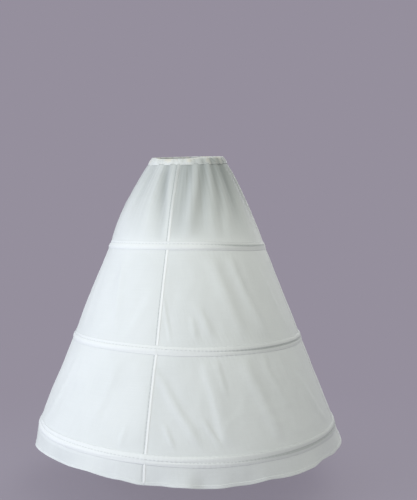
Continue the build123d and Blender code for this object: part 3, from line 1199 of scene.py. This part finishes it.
@dataclass
class RoundTape:
    """A tape sewn round the skirt.

    Its profile is (place, lift in millimetres) points across it. On a hoop's casing a place is 1 at the upper
    edge, 0 in the groove and -1 at the lower edge. On the hem it is the millimetres up the cloth.

    Attributes:
        along: where its line lies down the cloth.
        step: length of its faces round the skirt.
        start: the angle where it is closed.
        ease: its cut length as a share of the round that it is sewn to.
        pucker, pitch: height in millimetres and distance of its stitch puckers.
        seam_rise, seam_reach: how far a seam below lifts it, in millimetres, and how far round that is felt.
        sleeve, sleeve_rise, sleeve_reach: the same for the bone's sleeve, and the angle of that sleeve.
        bone_rise, bone_half, bone_slope: lift that clears the bone, half the bone's height with its play, and
            where the slope from it ends, in millimetres.
        slides: how far up from its hoop the casing's middle was sewn, in millimetres by angle.
        grooves: how far up from its hoop the groove lies, in millimetres by angle.
        half_width: half the casing's width, in millimetres.
        tape_shade, tape_shade_turn: how far the casing is painted with shade on the hip that lies away from
            the key lamp, and the angle of that place.
    """

    name: str
    cloth: Cloth
    material: bpy.types.Material
    along: float
    profile: Knots
    edge: TapeEdge
    replaces: tuple[str, ...] = ()
    thickness: float = 0.4 * MM
    step: float = 3.1 * MM
    start: float = -135.0
    ease: float = 1.01
    pucker: float = 0.22
    pitch: float = 11.5 * MM
    seam_rise: float = 0.6
    seam_reach: float = 7 * MM
    sleeve: float = 97.0
    sleeve_rise: float = 0.8
    sleeve_reach: float = 22 * MM
    bone_rise: float = 2.3
    bone_half: float = 2.9
    bone_slope: float = 11.0
    slides: Knots = ((0.0, 0.0), (180.0, 0.0))
    grooves: Knots = ((0.0, 0.0), (180.0, 0.0))
    half_width: float = 14.0
    tape_shade: float = 0.22
    tape_shade_turn: float = -14.0

    def radius(self) -> float:
        """The cloth's radius at the tape."""
        return self.cloth.shape.line(self.along)[0]

    def cut_length(self) -> float:
        """Length of the flat tape."""
        return math.tau * self.radius() * self.ease

    def build(self) -> bpy.types.Object:
        """Makes the tape."""
        rows = len(self.profile) - 1
        steps = round(math.tau * self.radius() / self.step)
        mesh = spun_sheet(self.start, 360.0, steps, rows)

        def place(angle: float, share: float) -> Vector:
            """The tape's point at an angle and a share across it."""
            return self.point(angle, *self.profile[round(share * rows)])

        def flat(angle: float, share: float) -> tuple[float, float]:
            """The tape's flat place, across from its groove and along it."""
            up = self.up_at(angle, self.profile[round(share * rows)][0]) - ring_curve(self.grooves, angle)
            return up * MM, math.radians(angle) * self.radius()

        def painted_shade(angle: float, _: float) -> float:
            """How far the tape is painted with shade at an angle, most on the hip away from the key lamp."""
            return self.tape_shade * smooth_step(0.5, 0.95, math.cos(math.radians(angle - self.tape_shade_turn)))

        move_sheet(mesh, self.start, place, flat, painted_shade)
        return Piece(self.name, mesh, self.material, Slot.TAPE, self.replaces, self.thickness, 0.0).place()

    def stitches(
        self, name: str, thread: bpy.types.Material, slot: Slot, place: float, lift: float, over: float = 0.0
    ) -> bpy.types.Object:
        """A row of stitches round the tape.

        Args:
            name: the row's name.
            thread: its material.
            slot: its slot.
            place: its place across the tape.
            lift: distance out from the cloth, in millimetres.
            over: distance out from the tape, in millimetres.

        Returns:
            The row's object.
        """

        def path(share: float) -> tuple[Vector, Vector]:
            """Point and outward direction of the row at a share round it."""
            angle = self.start + 360 * share
            point = self.point(angle, place, lift, over)
            return point, (self.point(angle, place, lift, over + 1) - point).normalized()

        return StitchRow(name, thread, slot, math.tau * self.radius(), path, closed=True).build()

    def up_at(self, angle: float, place: float) -> float:
        """Distance up the cloth from the tape's line for a place across it, in millimetres."""
        if self.edge is TapeEdge.HEM:
            return place
        groove = ring_curve(self.grooves, angle)
        edge = ring_curve(self.slides, angle) + math.copysign(self.half_width, place)
        return groove + abs(place) * (edge - groove)

    def bone_cover(self, angle: float, up: float) -> float:
        """The least lift that clears the bone, in millimetres, down to none at the tape's edge."""
        edge = abs(ring_curve(self.slides, angle) + math.copysign(self.half_width, up))
        return self.bone_rise * (1 - smooth_step(self.bone_half, min(self.bone_slope, edge), abs(up)))

    def point(self, angle: float, place: float, lift: float, over: float = 0.0) -> Vector:
        """A point over the cloth, puckered by its stitches and lifted where a seam runs below.

        Args:
            angle: angle round the skirt, in degrees.
            place: place across the tape.
            lift: distance out from the cloth, in millimetres.
            over: distance out from the tape, in millimetres.

        Returns:
            The point in the frame.
        """
        up = self.up_at(angle, place)
        if self.edge is TapeEdge.HOOP:
            radius = self.radius()
            part = abs(self.up_at(angle, math.copysign(1.0, place)) - self.up_at(angle, 0.0))
            lift = max(lift * min(1.0, part / self.half_width), self.bone_cover(angle, up))
            ripples = round(math.tau * radius / self.pitch)
            beat = math.sin(ripples * math.radians(angle) + 1.9 * ring_noise(angle, radius * 24, self.along))
            fullness = smooth_step(0.6, 1.8, lift)
            lift += self.pucker * fullness * (0.8 + beat + 0.6 * ring_noise(angle, radius * 60, up * 0.2))
            up += 0.25 * beat * (1 - fullness)
            from_seam = min(abs(turn_from(seam, angle)) for _, seam in SEAMS)
            lift += self.seam_rise * bell(math.radians(from_seam) * radius, self.seam_reach)
            from_sleeve = math.radians(turn_from(self.sleeve, angle)) * radius
            lift += self.sleeve_rise * fullness * math.exp(-((from_sleeve / self.sleeve_reach) ** 4))
        return self.cloth.place(angle, self.along - up * MM, (lift + over) * MM)

    def lift_at(self, place: float) -> float:
        """The profile's lift at a place across the tape, in millimetres."""
        return line_curve(tuple(sorted(self.profile)), place)


@dataclass
class StitchRow:
    """A row of machine stitches: one thread that dips through the cloth between stitches.

    Attributes:
        path: the point and outward direction at a share along the row.
        pitch: length of a stitch.
        half_width, half_height: half the thread's width and height.
        dips: heights of a stitch's beats over the cloth, in millimetres.
        reaches: how far each beat is moved along, in beats, so that a stitch's top is longer.
    """

    name: str
    material: bpy.types.Material
    slot: Slot
    length: float
    path: Callable[[float], tuple[Vector, Vector]]
    closed: bool = False
    pitch: float = 4.2 * MM
    half_width: float = 0.28 * MM
    half_height: float = 0.22 * MM
    dips: tuple[float, ...] = (-0.5, 0.32, 0.32)
    reaches: tuple[float, ...] = (0.0, -0.24, 0.24)

    def build(self) -> bpy.types.Object:
        """Makes the thread as a four-sided tube wrapped from a flat grid.

        Returns:
            The thread's object.
        """
        last = max(2, round(self.length / self.pitch)) * len(self.dips)
        mesh = bmesh.new()
        bmesh.ops.create_grid(mesh, x_segments=last, y_segments=4, size=0.5)
        spots = [self.spot(beat, last) for beat in range(last + 1)]
        corners = [self.section(beat, spots) for beat in range(last + 1)]
        for vert in mesh.verts:
            beat, side = round((vert.co.x + 0.5) * last), round((vert.co.y + 0.5) * 4)
            vert.co = corners[beat][side % 4]
        bmesh.ops.remove_doubles(mesh, verts=mesh.verts, dist=1e-6)
        if not self.closed:
            bmesh.ops.holes_fill(mesh, edges=mesh.edges, sides=4)
        bmesh.ops.recalc_face_normals(mesh, faces=mesh.faces)
        return Piece(self.name, mesh, self.material, self.slot).place()

    def spot(self, beat: int, last: int) -> tuple[Vector, Vector]:
        """Point and outward direction of one beat, where the beats of a stitch's top lie further apart."""
        place = (beat + self.reaches[beat % len(self.reaches)]) / last
        return self.path(place % 1.0 if self.closed else min(1.0, max(0.0, place)))

    def section(self, beat: int, spots: list[tuple[Vector, Vector]]) -> list[Vector]:
        """The four corners of the thread at one beat of its stitches."""
        point, out = spots[beat]
        last = len(spots) - 1
        if self.closed:
            ahead, behind = spots[(beat + 1) % last][0], spots[(beat - 1) % last][0]
        else:
            ahead, behind = spots[min(last, beat + 1)][0], spots[max(0, beat - 1)][0]
        side = (ahead - behind).normalized().cross(out).normalized() * self.half_width
        middle = point + out * (self.dips[beat % len(self.dips)] * MM)
        rise = out * self.half_height
        return [middle + side, middle + rise, middle - side, middle - rise]


@dataclass
class HoopCasings:
    """The three tapes that carry the hoop bones, each stitched along both edges and in its groove.

    Attributes:
        stitch_places: places of the stitch rows across a tape.
        stitch_over: how far they stand out from it, in millimetres.
        slides, grooves: how far each tape and its groove were sewn off the hoop, as in RoundTape.
        cut_width: a tape's flat width. It is not used.
    """

    cloth: Cloth
    finishes: Finishes
    profile: Knots = (
        (1.0, -0.05), (0.95, 0.5), (0.82, 1.0), (0.62, 1.25), (0.4, 1.2), (0.22, 0.95), (0.1, 0.6),
        (0.02, 0.4), (-0.03, 0.4), (-0.08, 0.8), (-0.15, 1.25), (-0.25, 1.5), (-0.36, 1.55), (-0.48, 1.45),
        (-0.6, 1.2), (-0.72, 0.9), (-0.84, 0.55), (-0.94, 0.22), (-1.0, -0.08),
    )
    stitch_places: tuple[float, ...] = (0.92, 0.0, -0.93)
    stitch_over: float = 0.2
    slides: dict[str, Knots] = field(default_factory=lambda: {
        "upper": ((-130, 5.5), (-70, 5.0), (-20, -1.0), (20, -1.0), (90, 1.0), (180, 4.0)),
        "middle": ((-120, 4.0), (-60, -5.0), (-20, -7.0), (20, -7.0), (90, -1.0), (180, 3.0)),
        "lower": ((-125, 5.5), (-60, -8.5), (-10, -8.5), (90, 0.0), (180, 4.0)),
    })
    grooves: dict[str, Knots] = field(default_factory=lambda: {
        "upper": ((-130, 11.5), (-80, 11.0), (-20, 1.5), (20, 1.5), (90, 5.0), (180, 9.0)),
        "middle": ((-120, 9.0), (-40, -7.5), (0, -6.5), (90, 4.0), (180, 8.0)),
        "lower": ((-125, 8.0), (-55, -13.0), (-10, -10.5), (90, 4.0), (180, 8.0)),
    })
    cut_width: float = 0.03

    def build(self) -> None:
        """Makes the tapes and their stitches."""
        for name in HOOPS:
            along = self.cloth.shape.hoop_along(f"{name}_hoop")
            node = f"{name}_hoop_casing"
            tape = RoundTape(
                f"{node}_tape", self.cloth, self.finishes.tape, along, self.profile, TapeEdge.HOOP, (node,),
                slides=self.slides[name], grooves=self.grooves[name],
            )
            made = tape.build()
            rows = [
                tape.stitches(
                    f"{name}_casing_stitches_{index}", self.finishes.thread, Slot.TAPE,
                    place, tape.lift_at(place), self.stitch_over,
                )
                for index, place in enumerate(self.stitch_places, 1)
            ]
            tape.cut_length()


@dataclass
class Hem:
    """The narrow turned hem round the free lower edge, with its stitch row.

    Attributes:
        stitch_place, stitch_lift: how far up the cloth and out from it the stitches lie, in millimetres.
        cut_width: its flat width. It is not used.
    """

    cloth: Cloth
    finishes: Finishes
    profile: Knots = (
        (7.4, 0.05), (6.2, 0.3), (3.4, 0.52), (1.0, 0.65), (-0.4, 0.45), (-0.9, -0.3), (-0.4, -1.1),
        (1.0, -1.35), (3.4, -1.3), (6.2, -1.15), (7.4, -0.95),
    )
    step: float = 4.6 * MM
    stitch_place: float = 5.6
    stitch_lift: float = 0.55
    cut_width: float = 0.018

    def build(self) -> None:
        """Makes the hem and its stitches."""
        along = self.cloth.shape.length
        tape = RoundTape(
            "turned_hem", self.cloth, self.finishes.hem, along, self.profile, TapeEdge.HEM, step=self.step
        )
        hem = tape.build()
        row = tape.stitches(
            "hem_stitches", self.finishes.thread, Slot.PANEL, self.stitch_place, self.stitch_lift
        )
        tape.cut_length()


@dataclass
class Seams:
    """The four upright seams: a narrow felled strip outside and an overlocked allowance inside.

    Attributes:
        profile, fin_profile: (across, lift) points of the strip and of the allowance, in millimetres.
        strip_end: how far the strip ends above the hem.
        fin_gap: how far the allowance ends from the cloth's edges.
        fin_sway: how far its free edge sways, in millimetres.
        stitch_places: places of the stitch rows across the strip, in millimetres.
        stitch_over: how far they stand out from it, in millimetres.
        stitch_start, stitch_end: how far they end from the cloth's edges.
        strip_shade: the strip's share of the yoke's painted shade.
    """

    cloth: Cloth
    finishes: Finishes
    profile: Knots = (
        (-1.9, -0.05), (-1.2, 0.25), (0.0, 0.22), (1.1, 0.3), (2.3, 0.62), (4.0, 0.92), (5.6, 1.05),
        (7.2, 0.98), (8.5, 0.62), (9.5, 0.25), (10.1, -0.05),
    )
    fin_profile: Knots = (
        (-0.7, -0.9), (-0.6, -4.0), (-0.55, -8.2), (-0.7, -9.4), (0.7, -9.4), (0.55, -8.2), (0.6, -4.0),
        (0.7, -0.9),
    )
    thickness: float = 0.3 * MM
    strip_end: float = 1.2 * MM
    fin_gap: float = 1 * MM
    fin_sway: float = 1.1
    stitch_places: tuple[float, ...] = (2.6, 8.2)
    stitch_over: float = 0.1
    stitch_start: float = 5 * MM
    stitch_end: float = 7 * MM
    strip_shade: float = 0.9
    rows: int = 176

    def build(self) -> dict[str, bpy.types.Object]:
        """Makes each seam's strip, stitches and allowance.

        Returns:
            The strips by their place.
        """
        strips = {}
        for name, angle in SEAMS:
            strips[name] = self.strip(name, angle)
            rows = [self.stitch(name, angle, index, place) for index, place in enumerate(self.stitch_places)]
            self.cloth.shape.length
            self.fin(name, angle)
        return strips

    def spot(self, angle: float, across: float, along: float, lift: float) -> Vector:
        """A point on the seam.

        Args:
            angle: the seam's angle, in degrees.
            across: distance from its middle line, in millimetres.
            along: distance down the cloth.
            lift: distance out from the cloth, in millimetres.

        Returns:
            The point in the frame.
        """
        radius = self.cloth.shape.line(along)[0]
        return self.cloth.place(angle + math.degrees(across * MM / radius), along, lift * MM)

    def grid(self, across: int, place: Callable[[int, float], Spot]) -> bmesh.types.BMesh:
        """A long grid moved into its shape.

        Args:
            across: faces across it.
            place: the point and UV for a column and a share down the seam.

        Returns:
            The mesh.
        """
        mesh = bmesh.new()
        bmesh.ops.create_grid(mesh, x_segments=across, y_segments=self.rows, size=0.5)
        layer = mesh.loops.layers.uv.verify()
        painted_shade_share = mesh.verts.layers.float.new(PAINTED_SHADE_SHARE)
        spots = {vert: place(round((vert.co.x + 0.5) * across), 0.5 - vert.co.y) for vert in mesh.verts}
        for face in mesh.faces:
            for loop in face.loops:
                loop[layer].uv = spots[loop.vert][1]
        for vert, (point, (_, along)) in spots.items():
            vert.co = point
            # The strip takes its share of the yoke's painted shade
            vert[painted_shade_share] = self.strip_shade * line_curve(self.cloth.shape.shade_fade, along)
        return mesh

    def strip(self, name: str, angle: float) -> bpy.types.Object:
        """The felled strip outside, with a groove along its folded side."""
        length, tuck = self.cloth.shape.length, self.cloth.shape.tuck

        def place(column: int, share: float) -> Spot:
            """Point and flat place for a column and a share down the strip, in the panels' own rows."""
            across, lift = self.profile[column]
            along = min(share * (length + tuck) - tuck, length - self.strip_end)
            return self.spot(angle, across, along, lift), (across * MM, along)

        mesh = self.grid(len(self.profile) - 1, place)
        return Piece(f"{name}_seam_strip", mesh, self.finishes.seam, Slot.PANEL, (), self.thickness).place()

    def fin(self, name: str, angle: float) -> None:
        """The two allowances that stand inside the seam, pressed together, with a whipped edge."""
        length = self.cloth.shape.length - 2 * self.fin_gap

        def place(column: int, share: float) -> Spot:
            """Point and flat place for a column and a share down the allowance."""
            across, lift = self.fin_profile[column]
            along = self.fin_gap + share * length
            sway = self.fin_sway * noise.noise(Vector((along * 24, angle, lift * 0.08))) * (-lift / 9)
            return self.spot(angle, across + sway, along, lift), (lift * MM, along)

        mesh = self.grid(len(self.fin_profile) - 1, place)
        name = f"{name}_seam_allowance"
        fin = Piece(name, mesh, self.finishes.panel, Slot.PANEL, (), self.thickness).place()
        self.cloth.shape.length

    def stitch(self, name: str, angle: float, index: int, across: float) -> bpy.types.Object:
        """One row of stitches down a strip."""
        length = self.cloth.shape.length - self.stitch_start - self.stitch_end
        lift = line_curve(self.profile, across) + self.stitch_over

        def path(share: float) -> tuple[Vector, Vector]:
            """Point and outward direction of the row at a share down it."""
            along = self.stitch_start + share * length
            point = self.spot(angle, across, along, lift)
            return point, (self.spot(angle, across, along, lift + 1) - point).normalized()

        name = f"{name}_seam_stitches_{index + 1}"
        return StitchRow(name, self.finishes.thread, Slot.PANEL, length, path).build()


@dataclass
class Waistband:
    """The folded band, drawn in by its elastic, with a stitch row along each edge of the tunnel.

    Heights and offsets in the profile are in millimetres, from the waist line and from the elastic's middle.

    Attributes:
        half_width, half_depth: the elastic's half width and half depth at the waist line.
        flare: how far the band widens down to its lower edge.
        profile: (offset, height) points from its inner lower edge over the top to its outer lower edge.
        fullness: share of the puckers by height.
        middle: height of the tunnel's middle.
        low_edge: height below which the puckers are sewn down, and low_share what is left of them.
        pucker, pinch_depth: depth of the puckers and of the small pinches between them, in millimetres.
        top_ripple, low_ripple: how far the top fold and the lower edge go up and down, in millimetres.
        sag, sag_turn: how far the top fold sags in front, in millimetres, and the angle of that place.
        hip_turn: the angle of the hip, away from the key lamp, over which the band is painted with more shade.
        stitch_places: (offset, height) of the stitch rows.
    """

    cloth: Cloth
    finishes: Finishes
    steps: int = 420
    thickness: float = 0.5 * MM
    half_width: float = 115.7 * MM
    half_depth: float = 90.7 * MM
    flare: float = 14 * MM
    height: float = 22 * MM
    profile: Knots = (
        (-1.15, -22.0), (-1.35, -20.4), (-1.3, -19.0), (-1.75, -16.6), (-2.0, -13.0), (-2.0, -9.0),
        (-1.8, -5.6), (-1.3, -3.6), (-1.2, -1.6), (-0.7, -0.3), (0.0, 0.15), (0.7, -0.3), (1.2, -1.6),
        (1.3, -3.6), (1.85, -5.6), (2.1, -9.0), (2.1, -13.0), (1.8, -16.6), (1.15, -19.2), (1.05, -20.2),
        (1.0, -21.2), (0.62, -22.3),
    )
    fullness: Knots = (
        (-22.3, 0.83), (-20.2, 0.75), (-19.0, 0.6), (-15.0, 1.0), (-9.0, 1.15), (-4.0, 0.8), (0.15, 0.75),
    )
    middle: float = -11.0
    low_edge: float = -19.0
    low_share: float = 0.75
    pucker: float = 2.0
    pinch_depth: float = 0.9
    top_ripple: float = 0.7
    low_ripple: float = 0.35
    sag: float = 3.4
    sag_turn: float = -100.0
    hip_turn: float = 5.0
    stitch_places: Knots = ((1.42, -19.3), (1.5, -3.4))
    stitch_pitch: float = 3.6 * MM

    def point(self, angle: float, offset: float, height: float) -> Vector:
        """A point of the band.

        Args:
            angle: angle round the waist, in degrees.
            offset: distance out from the elastic's middle line, in millimetres.
            height: height over the waist line, in millimetres.

        Returns:
            The point in the frame.
        """
        flare = self.flare * -height * MM / self.height
        slanted = angle + 0.12 * (height - self.middle) * math.sin(math.radians(angle) * 5)
        rise = self.cloth.shape.puckers.rise(slanted) * line_curve(self.fullness, height)
        low = smooth_step(-17.0, -21.0, height)
        side = 1 if offset >= 0 else low * 2 - 1
        edge = min(1.0, abs(offset)) if low == 0 else 1.0
        full = self.pucker * rise * (self.low_share if height < self.low_edge else 1.0)
        reach = offset + side * edge * (full - self.pinch_depth * self.pinch(angle, height))
        ripple = self.top_ripple * smooth_step(-6, 0, height) * (rise - 0.4)
        ripple += self.low_ripple * low * ring_noise(angle, 32, height * 0.12)
        sag = self.sag * smooth_step(0.7, 0.98, math.cos(math.radians(angle - self.sag_turn)))
        height += ripple - sag * smooth_step(-9, 0, height)
        turn = math.radians(angle)
        spot = Vector((
            (self.half_width + flare + reach * MM) * math.cos(turn),
            (self.half_depth + flare + reach * MM) * math.sin(turn),
            height * MM,
        ))
        return Matrix.Rotation(self.cloth.shape.tilt, 3, "X") @ spot

    def pinch(self, angle: float, height: float) -> float:
        """How deep the small pinches are, from 0 to 1, deepest above the tunnel's middle."""
        slanted = angle + 0.25 * (height - self.middle)
        drawn = smooth_step(0.0, 0.45, ring_noise(slanted, 18, 3.3 + height * 0.03))
        return drawn * smooth_step(-20, -13, height) * (0.35 + 0.65 * smooth_step(0.5, -2.5, height))

    def painted_shade_share(self, angle: float, height: float) -> float:
        """How far the band is painted with shade: in its pinches, and more over the left hip, away from the
        key lamp, but less along its top fold, where the light falls.
        """
        pinch = 0.6 * (1 - self.cloth.shape.puckers.rise(angle)) + 0.6 * self.pinch(angle, height)
        hip = smooth_step(-0.25, 0.9, math.cos(math.radians(angle - self.hip_turn)))
        below_fold = 0.25 + 0.75 * smooth_step(-1.0, -5.0, height)
        return (0.2 * pinch + hip * (0.46 + 0.72 * pinch)) * below_fold

    def build(self) -> None:
        """Makes the band and its stitches."""
        rows = len(self.profile) - 1
        mesh = spun_sheet(FRONT, 360.0, self.steps, rows)
        run = [0.0]
        for (offset, height), (next_offset, next_height) in zip(self.profile, self.profile[1:]):
            run.append(run[-1] + math.hypot(next_offset - offset, next_height - height) * MM)
        mean = (self.half_width + self.half_depth + self.flare) / 2

        def place(angle: float, share: float) -> Vector:
            """The band's point at an angle and a share of its profile."""
            return self.point(angle, *self.profile[round(share * rows)])

        def flat(angle: float, share: float) -> tuple[float, float]:
            """The band's flat place, along and across it."""
            return math.radians(angle) * mean, run[round(share * rows)]

        def painted_shade(angle: float, share: float) -> float:
            """The band's painted shade at an angle and a share of its profile."""
            return self.painted_shade_share(angle, self.profile[round(share * rows)][1])

        move_sheet(mesh, FRONT, place, flat, painted_shade)
        band = Piece(
            "gathered_waistband", mesh, self.finishes.band, Slot.BAND, ("waistband",), self.thickness, 0.0
        ).place()
        stitches = [self.stitch(index, *spot) for index, spot in enumerate(self.stitch_places, 1)]

    def stitch(self, index: int, offset: float, height: float) -> bpy.types.Object:
        """One row of stitches round the band."""

        def path(share: float) -> tuple[Vector, Vector]:
            """Point and outward direction of the row at a share round it."""
            angle = FRONT + 360 * share
            turn = math.radians(angle)
            out = Vector((math.cos(turn), math.sin(turn), 0.1)).normalized()
            return self.point(angle, offset, height), out

        length = math.pi * (self.half_width + self.half_depth)
        return StitchRow(
            f"waistband_stitches_{index}", self.finishes.thread, Slot.BAND, length, path,
            closed=True, pitch=self.stitch_pitch,
        ).build()


@dataclass
class HiddenParts:
    """The CAD parts that stay as they are: hoop bones, their sleeves and the waist elastic."""

    nodes: dict[str, bpy.types.Object]
    finishes: Finishes

    def dress(self) -> None:
        """Gives each part its finish."""
        for name, node in self.nodes.items():
            if name.endswith("_hoop"):
                self.coat(node, self.finishes.bone)
            elif name.endswith("_connector"):
                self.coat(node, self.finishes.sleeve)
            elif name == "waist_elastic":
                self.coat(node, self.finishes.elastic)

    def coat(self, node: bpy.types.Object, material: bpy.types.Material) -> None:
        """Puts one material on a part."""
        node.data.materials.clear()
        node.data.materials.append(material)
        LOG.info("%s: %s", node.name, material.name)


@dataclass(frozen=True)
class Lamp:
    """A soft square lamp.

    Attributes:
        name: its name.
        place: where it stands.
        aim: what it points at.
        size: its side, in metres.
        power: its power, in watts.
        colour: its colour.
    """

    name: str
    place: tuple[float, float, float]
    aim: tuple[float, float, float]
    size: float
    power: float
    colour: tuple[float, float, float]

    def build(self) -> None:
        """Hangs the lamp in the scene."""
        data = bpy.data.lights.new(self.name, "AREA")
        data.size, data.energy, data.color = self.size, self.power, self.colour
        lamp = bpy.data.objects.new(self.name, data)
        lamp.location = self.place
        lamp.rotation_mode = "QUATERNION"
        lamp.rotation_quaternion = (Vector(self.aim) - Vector(self.place)).to_track_quat("-Z", "Y")
        bpy.context.scene.collection.objects.link(lamp)


@dataclass
class Studio:
    """A plain floor, soft lamps and the camera at the photograph's viewing angle.

    The key lamp stands in front on the wearer's right, with a side lamp beyond it, a weak fill on the left
    and a lamp behind.
    """

    backdrop: Colour = (0.301, 0.275, 0.337, 1)
    ground: Colour = (0.42, 0.395, 0.46, 1)
    sky: Colour = (0.98, 1.0, 1.0, 1)
    sky_strength: float = 0.42
    lamps: tuple[Lamp, ...] = (
        Lamp("key", (-2.3, -2.7, 0.25), (0, 0, -0.5), 2.2, 77, (0.87, 0.925, 1.0)),
        Lamp("side", (-3.0, -0.5, 0.1), (0, 0, -0.5), 2.0, 14, (0.88, 0.93, 1.0)),
        Lamp("fill", (1.2, -1.45, 1.12), (0.08, 0, -0.3), 1.6, 17, (0.98, 1.0, 0.85)),
        Lamp("rear", (0.6, 2.9, 1.2), (0, 0, -0.5), 2.4, 40, (0.97, 0.99, 1.0)),
    )
    floor_height: float = -1.06
    floor_radius: float = 9.0
    distance: float = 2.436
    azimuth: float = 14.5
    camera_height: float = -0.213
    yaw: float = 1.645
    pitch: float = 2.17
    lens: float = 53.136

    def build(self) -> None:
        """Makes the floor, the world, the lamps and the camera."""
        self.floor()
        self.world()
        for lamp in self.lamps:
            lamp.build()
        self.camera()

    def seen(self, graph: Graph) -> Sock:
        """1 for rays that show the backdrop: from the camera, a mirror or glass."""
        path = graph.node("ShaderNodeLightPath")
        seen = Sock(graph, path.outputs["Is Camera Ray"]) + Sock(graph, path.outputs["Is Glossy Ray"])
        seen = seen + Sock(graph, path.outputs["Is Transmission Ray"])
        return seen.maths("MINIMUM", seen, 1.0)

    def floor(self) -> None:
        """A round floor that keeps the shadow below the skirt and fades into the backdrop."""
        mesh = bmesh.new()
        bmesh.ops.create_circle(mesh, cap_ends=True, segments=96, radius=self.floor_radius)
        bmesh.ops.translate(mesh, verts=mesh.verts, vec=(0, 0, self.floor_height))
        data = bpy.data.meshes.new("floor")
        mesh.to_mesh(data)
        mesh.free()
        graph = Graph.of_material("studio_floor")
        x, y, _ = graph.parts(graph.places("Object"))
        away = (x * x + y * y) ** 0.5
        share = self.seen(graph) * (away.ramp(0.2, 1.6) * 0.3 + 0.7)
        lit = ("ShaderNodeBsdfDiffuse", {"Color": self.ground})
        glow = ("ShaderNodeEmission", {"Color": self.backdrop, "Strength": 1.0})
        graph.node("ShaderNodeOutputMaterial", None, {0: graph.mixed_shader(share, lit, glow)})
        data.materials.append(graph.owner)
        floor = bpy.data.objects.new("floor", data)
        bpy.context.scene.collection.objects.link(floor)

    def world(self) -> None:
        """Even soft light all round, behind which the camera sees the backdrop's colour."""
        world = bpy.data.worlds.new("studio")
        bpy.context.scene.world = world
        graph = Graph(world)
        light = ("ShaderNodeBackground", {"Color": self.sky, "Strength": self.sky_strength})
        shown = ("ShaderNodeBackground", {"Color": self.backdrop, "Strength": 1.0})
        mixed = graph.mixed_shader(self.seen(graph), light, shown)
        graph.node("ShaderNodeOutputWorld", None, {0: mixed})

    def camera(self) -> None:
        """The camera, a little to the wearer's left of the front."""
        turn, yaw, pitch = (math.radians(angle) for angle in (self.azimuth, self.yaw, self.pitch))
        ahead = Vector((-math.sin(turn), math.cos(turn), 0))
        right = Vector((math.cos(turn), math.sin(turn), 0))
        level = ahead * math.cos(yaw) + right * math.sin(yaw)
        look = level * math.cos(pitch) - Vector((0, 0, math.sin(pitch)))
        data = bpy.data.cameras.new("camera")
        data.lens, data.sensor_width, data.sensor_fit = self.lens, 36.0, "AUTO"
        camera = bpy.data.objects.new("camera", data)
        camera.location = -ahead * self.distance + Vector((0, 0, self.camera_height))
        camera.rotation_mode = "QUATERNION"
        camera.rotation_quaternion = look.to_track_quat("-Z", "Y")
        bpy.context.scene.collection.objects.link(camera)
        bpy.context.scene.camera = camera
        bpy.context.scene.view_settings.view_transform = "Standard"


def main() -> None:
    """Builds the petticoat's pieces in order and dresses them."""
    logging.basicConfig(level=logging.INFO, format="%(name)s: %(message)s")
    for left in list(bpy.data.objects):
        bpy.data.objects.remove(left)
    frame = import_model()
    finishes = Finishes()
    cloth = Cloth(SkirtShape.from_frame())
    Studio().build()
    panels = Panels(cloth, finishes)
    panels.build()
    HoopCasings(cloth, finishes).build()
    seams = Seams(cloth, finishes).build()
    Hem(cloth, finishes).build()
    Waistband(cloth, finishes).build()
    HiddenParts(frame["nodes"], finishes).dress()
    panels.declare({"front_left_panel": [seams["front"]]})


if __name__ == "__main__":
    main()
